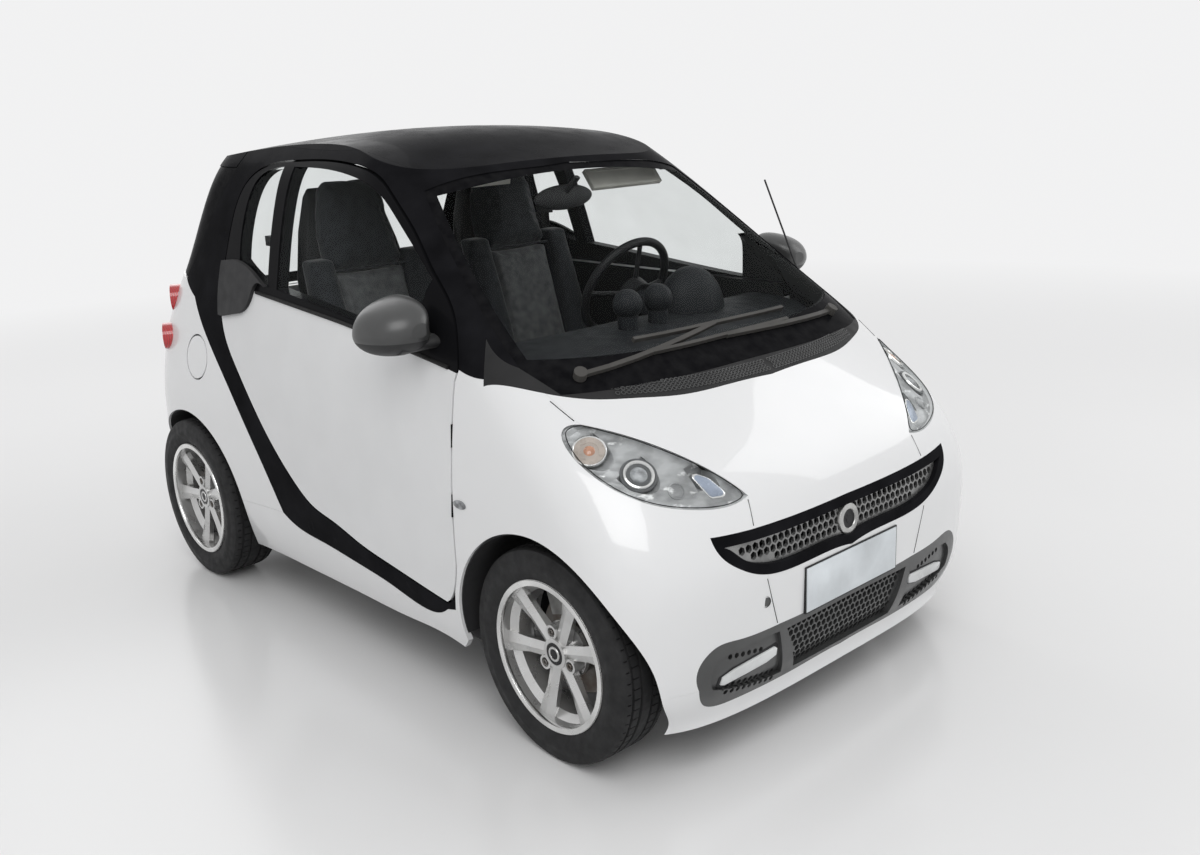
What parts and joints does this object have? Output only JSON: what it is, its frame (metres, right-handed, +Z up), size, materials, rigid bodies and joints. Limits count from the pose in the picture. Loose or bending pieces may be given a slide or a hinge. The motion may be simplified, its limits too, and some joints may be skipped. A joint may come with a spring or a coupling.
{
  "type": "two-seat microcar",
  "caption": "Short city car with a dark safety cell, light body panels, steered and rolling wheels, opening doors, rear window, tailgate and fuel flap.",
  "frame": {"origin": "on the floor below the middle of the car", "axes": "+Z up, -Y towards the nose, -X towards the car's right side"},
  "size_m": [1.7512, 2.6961, 1.5422],
  "materials": {
    "white_paint": "gloss",
    "black_paint": "gloss",
    "black_plastic": "textured",
    "grey_plastic": "satin",
    "glass": "clear",
    "lamp_glass": "clear",
    "reflector": "satin",
    "red_lens": "clear",
    "tyre": "matte",
    "wheel_silver": "satin",
    "iron": "machined",
    "steel_black": "satin",
    "aluminium": "cast",
    "exhaust_steel": "brushed",
    "floor_grey": "textured",
    "dash_plastic": "soft",
    "wheel_leather": "matte",
    "seat_fabric": "woven"
  },
  "bodies": {
    "body": {"safety_cell": "black_paint", "roof_panel": "black_paint", "hood": "white_paint", "front_panel": "white_paint", "front_lip": "white_paint", "front_wing_left": "white_paint", "front_wing_right": "white_paint", "rear_wing_left": "white_paint", "rear_wing_right": "white_paint", "sill_covers": "white_paint", "rear_bumper": "white_paint", "windscreen": "glass", "lower_grille": "grey_plastic", "upper_grille": "black_paint", "cowl": "black_plastic", "upper_mesh": "grey_plastic", "lamp_bowls": "reflector", "headlamp_left": "lamp_glass", "headlamp_right": "lamp_glass", "tail_lamps": "red_lens", "front_subframe": "steel_black", "rear_axle": "steel_black", "engine_block": "aluminium", "radiator": "steel_black", "exhaust": "exhaust_steel", "wheel_liners": "black_plastic", "floor_pan": "floor_grey", "dashboard": "dash_plastic", "seats": "seat_fabric", "console": "dash_plastic", "interior_mirror": "black_plastic", "wipers": "black_plastic", "antenna": "black_plastic"},
    "knuckle_right": {"knuckle_right": "aluminium"},
    "knuckle_left": {"knuckle_left": "aluminium"},
    "wheel_front_right": {"tyre_front_right": "tyre", "rim_front_right": "wheel_silver", "brake_disc_right": "iron"},
    "wheel_front_left": {"tyre_front_left": "tyre", "rim_front_left": "wheel_silver", "brake_disc_left": "iron"},
    "wheel_rear_right": {"tyre_rear_right": "tyre", "rim_rear_right": "wheel_silver", "brake_drum_right": "iron"},
    "wheel_rear_left": {"tyre_rear_left": "tyre", "rim_rear_left": "wheel_silver", "brake_drum_left": "iron"},
    "steering_wheel": {"steering_wheel": "wheel_leather"},
    "door_right": {"door_right": "white_paint", "door_glass_right": "glass", "mirror_right": "grey_plastic", "door_handle_right": "black_plastic"},
    "door_left": {"door_left": "white_paint", "door_glass_left": "glass", "mirror_left": "grey_plastic", "door_handle_left": "black_plastic"},
    "hatch": {"rear_window": "glass", "rear_spoiler": "black_paint"},
    "tailgate": {"tailgate": "white_paint"},
    "fuel_flap": {"fuel_flap": "white_paint"}
  },
  "joints": [
    {"name": "steer_right", "type": "hinge", "parent": "body", "child": "knuckle_right", "pos_m": [-0.57839, -0.9475, 0.18967], "axis": [0.1684, 0, 0.9857], "range_deg": [-34, 34]},
    {"name": "steer_left", "type": "hinge", "parent": "body", "child": "knuckle_left", "pos_m": [0.57839, -0.9475, 0.18967], "axis": [-0.1684, 0, 0.9857], "range_deg": [-34, 34]},
    {"name": "steering_wheel_turn", "type": "hinge", "parent": "body", "child": "steering_wheel", "pos_m": [0.2853, -0.23431, 1.01001], "axis": [0, 0.891, 0.454], "range_deg": [-544, 544]},
    {"name": "roll_front_right", "type": "hinge", "parent": "knuckle_right", "child": "wheel_front_right", "pos_m": [-0.6415, -0.9475, 0.2835], "axis": [1, 0, 0], "continuous": true},
    {"name": "roll_rear_right", "type": "hinge", "parent": "body", "child": "wheel_rear_right", "pos_m": [-0.6925, 0.9195, 0.28675], "axis": [1, 0, 0], "continuous": true},
    {"name": "roll_front_left", "type": "hinge", "parent": "knuckle_left", "child": "wheel_front_left", "pos_m": [0.6415, -0.9475, 0.2835], "axis": [1, 0, 0], "continuous": true},
    {"name": "roll_rear_left", "type": "hinge", "parent": "body", "child": "wheel_rear_left", "pos_m": [0.6925, 0.9195, 0.28675], "axis": [1, 0, 0], "continuous": true},
    {"name": "door_right_open", "type": "hinge", "parent": "body", "child": "door_right", "pos_m": [-0.74119, -0.63149, 0.6168], "axis": [0.0831, 0, 0.9965], "range_deg": [0, 62]},
    {"name": "door_left_open", "type": "hinge", "parent": "body", "child": "door_left", "pos_m": [0.74119, -0.63149, 0.6168], "axis": [0.0831, 0, -0.9965], "range_deg": [0, 62]},
    {"name": "hatch_open", "type": "hinge", "parent": "body", "child": "hatch", "pos_m": [0, 0.7354, 1.5227], "axis": [1, 0, 0], "range_deg": [0, 80]},
    {"name": "tailgate_open", "type": "hinge", "parent": "body", "child": "tailgate", "pos_m": [0, 1.34485, 0.52282], "axis": [-1, 0, 0], "range_deg": [0, 90]},
    {"name": "fuel_flap_open", "type": "hinge", "parent": "body", "child": "fuel_flap", "pos_m": [-0.73716, 0.76609, 0.81109], "axis": [0, 0, 1], "range_deg": [0, 100]}
  ],
  "couplings": [
    {"joint": "steer_left", "follows": "steer_right", "ratio": 1},
    {"joint": "steering_wheel_turn", "follows": "steer_right", "ratio": 16}
  ]
}
